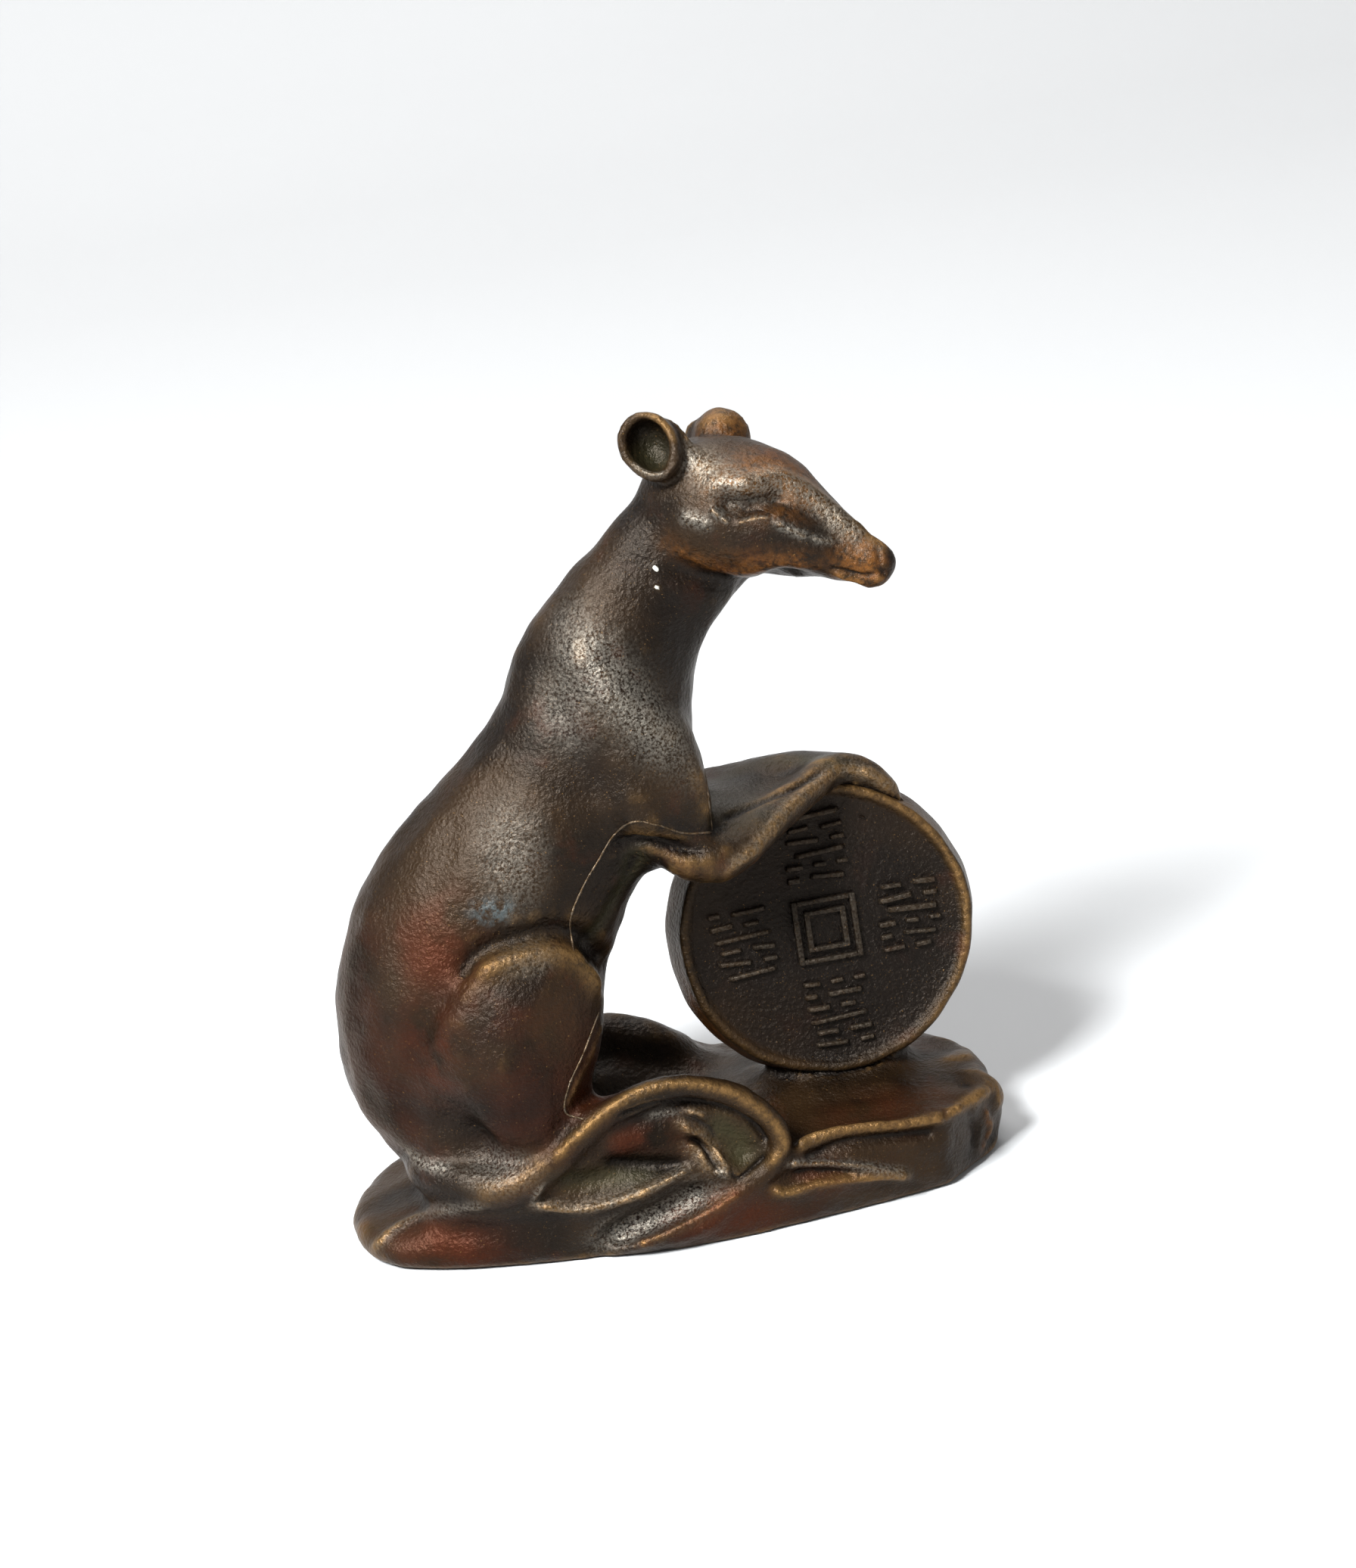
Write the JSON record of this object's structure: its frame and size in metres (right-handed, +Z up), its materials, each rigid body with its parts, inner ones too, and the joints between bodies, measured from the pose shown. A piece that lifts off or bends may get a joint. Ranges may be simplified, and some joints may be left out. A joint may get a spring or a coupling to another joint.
{
  "type": "figurine",
  "caption": "Cast bronze rat sitting up on a low folded base and leaning its forepaws on a big upright cash coin, its tail curling over the front.",
  "frame": {"origin": "on the floor, under the middle of the base", "axes": "+Z up, the rat looks along +X, -Y is the front with the coin's face"},
  "size_m": [0.0547, 0.0268, 0.0655],
  "materials": {
    "bronze": "dark brown patinated bronze, satin, worn golden on the edges, olive green in the hollows"
  },
  "bodies": {
    "root": {"rat_casting": "bronze"}
  },
  "joints": []
}
